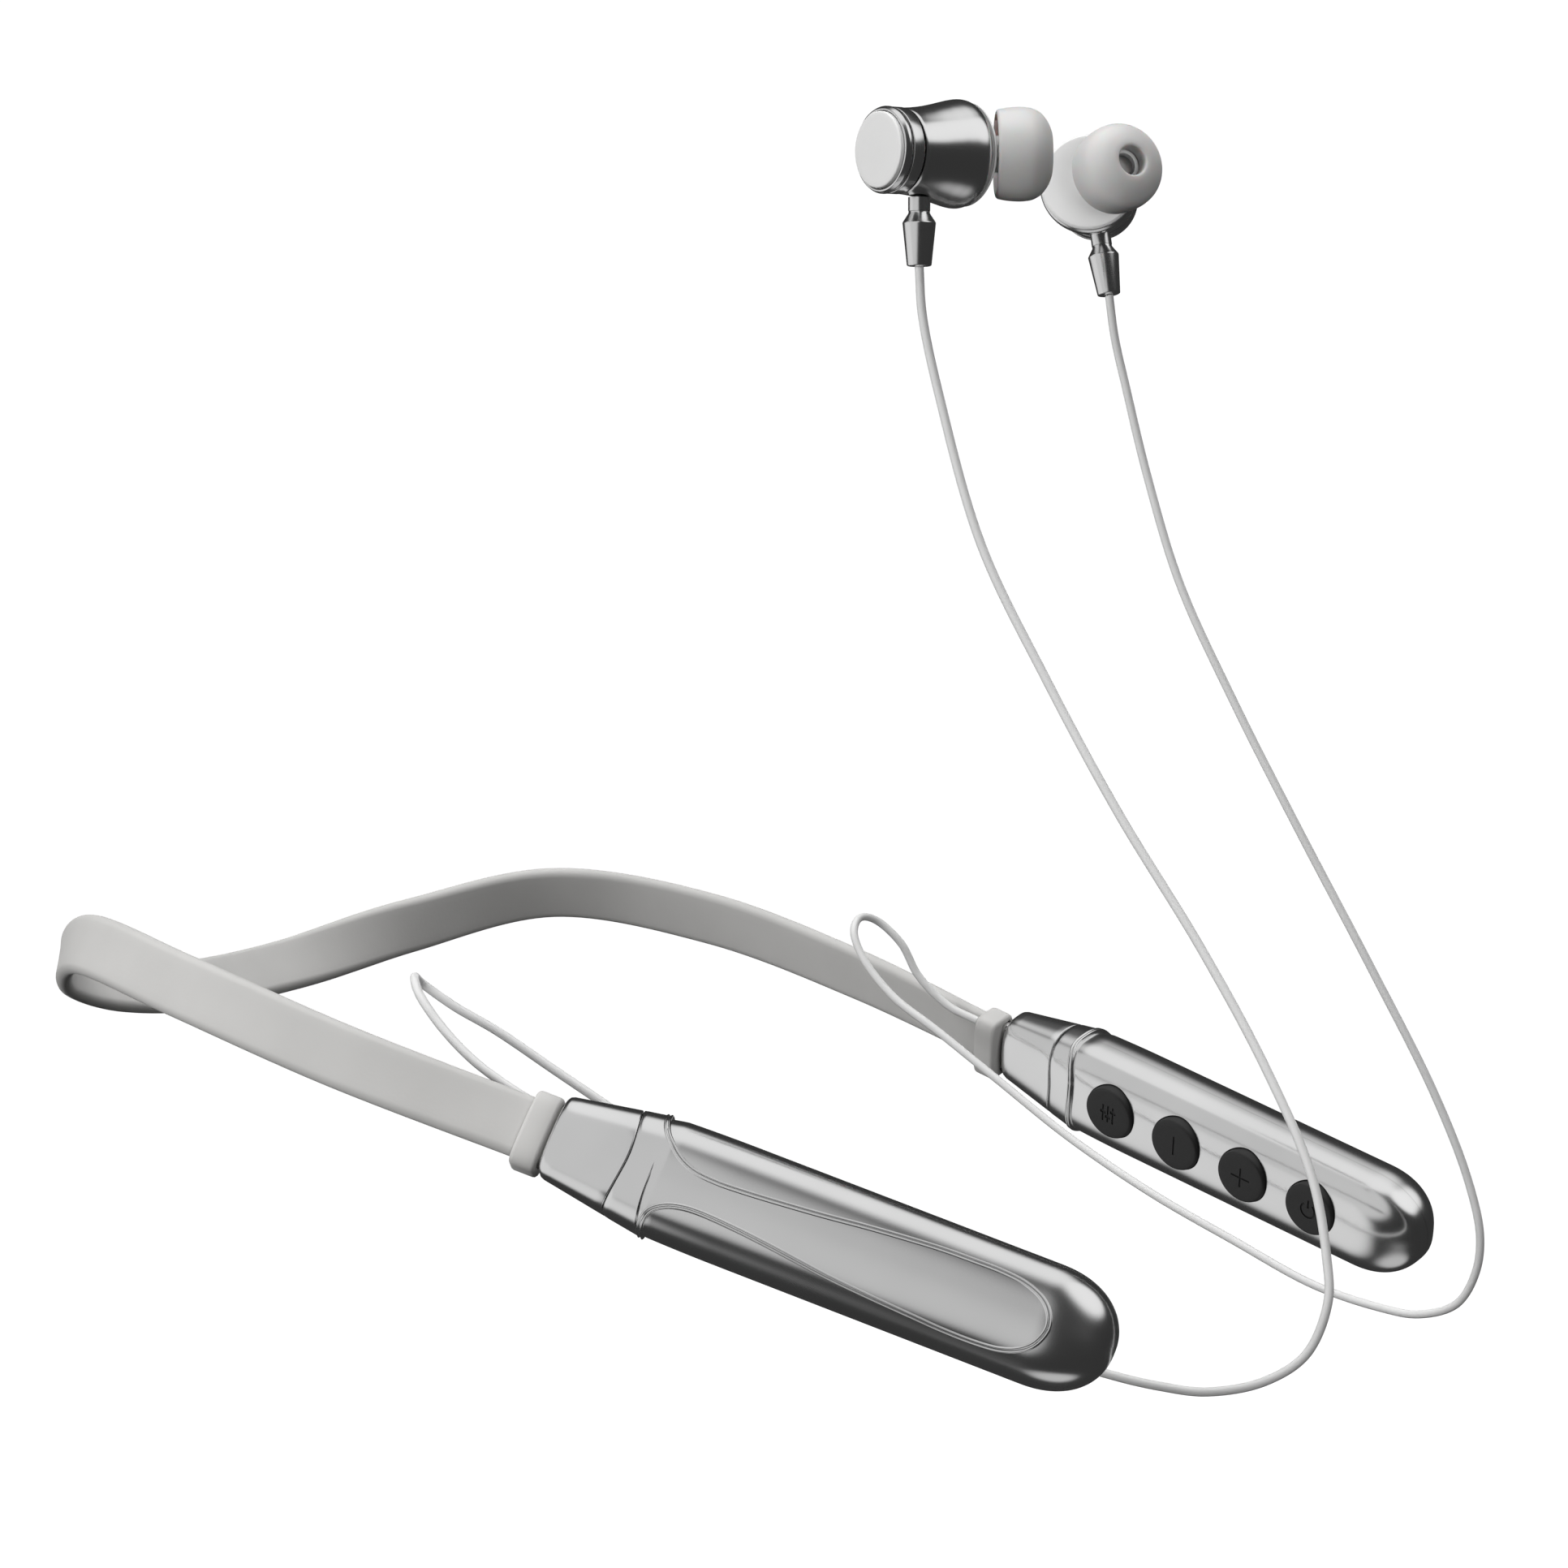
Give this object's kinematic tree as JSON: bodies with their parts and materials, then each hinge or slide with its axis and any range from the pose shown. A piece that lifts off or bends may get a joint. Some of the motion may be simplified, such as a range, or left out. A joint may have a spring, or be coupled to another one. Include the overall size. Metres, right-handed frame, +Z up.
{
  "type": "neckband earphones",
  "caption": "Wireless neckband earphones: a flat flexible band joins two slim pods, with buttons on one, and an earbud on a thin cable from each.",
  "frame": {"origin": "on the inner face of the band, at the middle of the nape", "axes": "+X the wearer's front, +Y the wearer's left (the pod with the buttons), +Z up; stored as worn, with the pods sloping down in front and the earbuds held up near the ears"},
  "size_m": [0.1933, 0.1722, 0.1689],
  "materials": {
    "band_silicone": "soft matte silicone, pale warm grey",
    "tip_silicone": "soft satin silicone, pale grey",
    "bright_shell": "polished, nickel bright",
    "pale_plastic": "fine matte, pale grey",
    "button_rubber": "black, soft matte",
    "cable_sheath": "smooth soft sheath, pale grey",
    "spring_steel": "drawn wire",
    "magnet_steel": "plain plated metal",
    "dark_plastic": "moulded",
    "board": "green circuit board",
    "cell": "foil-wrapped cell"
  },
  "bodies": {
    "neckband": {"band_nape": "band_silicone", "spring_wire_nape": "spring_steel"},
    "left_arm": {"band_left": "band_silicone", "spring_wire_left": "spring_steel", "collar_left": "band_silicone", "tail_cap_left": "bright_shell", "neck_ring_left": "bright_shell", "bead_ring_left": "bright_shell", "outer_trim_left": "bright_shell", "outer_shell_left": "bright_shell", "inner_shell_left": "bright_shell", "cable_left": "cable_sheath", "circuit_board": "board", "charging_socket": "magnet_steel", "microphone": "dark_plastic", "vibration_motor": "magnet_steel", "switch_mode": "dark_plastic", "switch_volume_down": "dark_plastic", "switch_volume_up": "dark_plastic", "switch_power": "dark_plastic"},
    "right_arm": {"band_right": "band_silicone", "spring_wire_right": "spring_steel", "collar_right": "band_silicone", "tail_cap_right": "bright_shell", "neck_ring_right": "bright_shell", "bead_ring_right": "bright_shell", "outer_trim_right": "bright_shell", "outer_shell_right": "bright_shell", "inner_shell_right": "bright_shell", "cable_right": "cable_sheath", "battery": "cell", "battery_board": "board"},
    "button_mode": {"button_mode": "button_rubber"},
    "button_volume_down": {"button_volume_down": "button_rubber"},
    "button_volume_up": {"button_volume_up": "button_rubber"},
    "button_power": {"button_power": "button_rubber"},
    "earbud_left": {"end_cap_left": "pale_plastic", "bevel_ring_left": "bright_shell", "rear_housing_left": "bright_shell", "front_housing_left": "bright_shell", "stem_left": "bright_shell", "ferrule_left": "bright_shell", "driver_left": "dark_plastic", "parking_magnet_left": "magnet_steel", "front_plate_left": "pale_plastic", "nozzle_mesh_left": "magnet_steel"},
    "ear_tip_left": {"ear_tip_left": "tip_silicone"},
    "earbud_right": {"end_cap_right": "pale_plastic", "bevel_ring_right": "bright_shell", "rear_housing_right": "bright_shell", "front_housing_right": "bright_shell", "stem_right": "bright_shell", "ferrule_right": "bright_shell", "driver_right": "dark_plastic", "parking_magnet_right": "magnet_steel", "front_plate_right": "pale_plastic", "nozzle_mesh_right": "magnet_steel"},
    "ear_tip_right": {"ear_tip_right": "tip_silicone"}
  },
  "joints": [
    {"name": "band_flex_left", "type": "hinge", "parent": "neckband", "child": "left_arm", "pos_m": [0.0243, 0.0705, 0.0101], "axis": [0, -0.4991, 0.8665], "range_deg": [-6, 22], "stiffness_Nm_per_rad": 0.6},
    {"name": "band_flex_right", "type": "hinge", "parent": "neckband", "child": "right_arm", "pos_m": [0.0243, -0.0705, 0.0101], "axis": [0, -0.4991, -0.8665], "range_deg": [-6, 22], "stiffness_Nm_per_rad": 0.6},
    {"name": "press_mode", "type": "slide", "parent": "left_arm", "child": "button_mode", "axis": [0.3157, 0.8722, 0.3736], "range_m": [0, 0.00035], "stiffness_N_per_m": 1000, "springref_m": -0.0002},
    {"name": "press_volume_down", "type": "slide", "parent": "left_arm", "child": "button_volume_down", "axis": [0.3157, 0.8722, 0.3736], "range_m": [0, 0.00035], "stiffness_N_per_m": 1000, "springref_m": -0.0002},
    {"name": "press_volume_up", "type": "slide", "parent": "left_arm", "child": "button_volume_up", "axis": [0.3157, 0.8722, 0.3736], "range_m": [0, 0.00035], "stiffness_N_per_m": 1000, "springref_m": -0.0002},
    {"name": "press_power", "type": "slide", "parent": "left_arm", "child": "button_power", "axis": [0.3157, 0.8722, 0.3736], "range_m": [0, 0.00035], "stiffness_N_per_m": 1000, "springref_m": -0.0002},
    {"name": "earbud_turn_left", "type": "hinge", "parent": "left_arm", "child": "earbud_left", "pos_m": [0.1298, 0.0336, 0.09892], "axis": [0, 0, 1], "range_deg": [-60, 60]},
    {"name": "tip_pull_left", "type": "slide", "parent": "earbud_left", "child": "ear_tip_left", "axis": [0.7428, -0.6383, 0.202], "range_m": [0, 0.009]},
    {"name": "earbud_turn_right", "type": "hinge", "parent": "right_arm", "child": "earbud_right", "pos_m": [0.12903, -0.03495, 0.0993], "axis": [0, 0, 1], "range_deg": [-60, 60]},
    {"name": "tip_pull_right", "type": "slide", "parent": "earbud_right", "child": "ear_tip_right", "axis": [0.8988, 0.4384, 0], "range_m": [0, 0.009]}
  ]
}
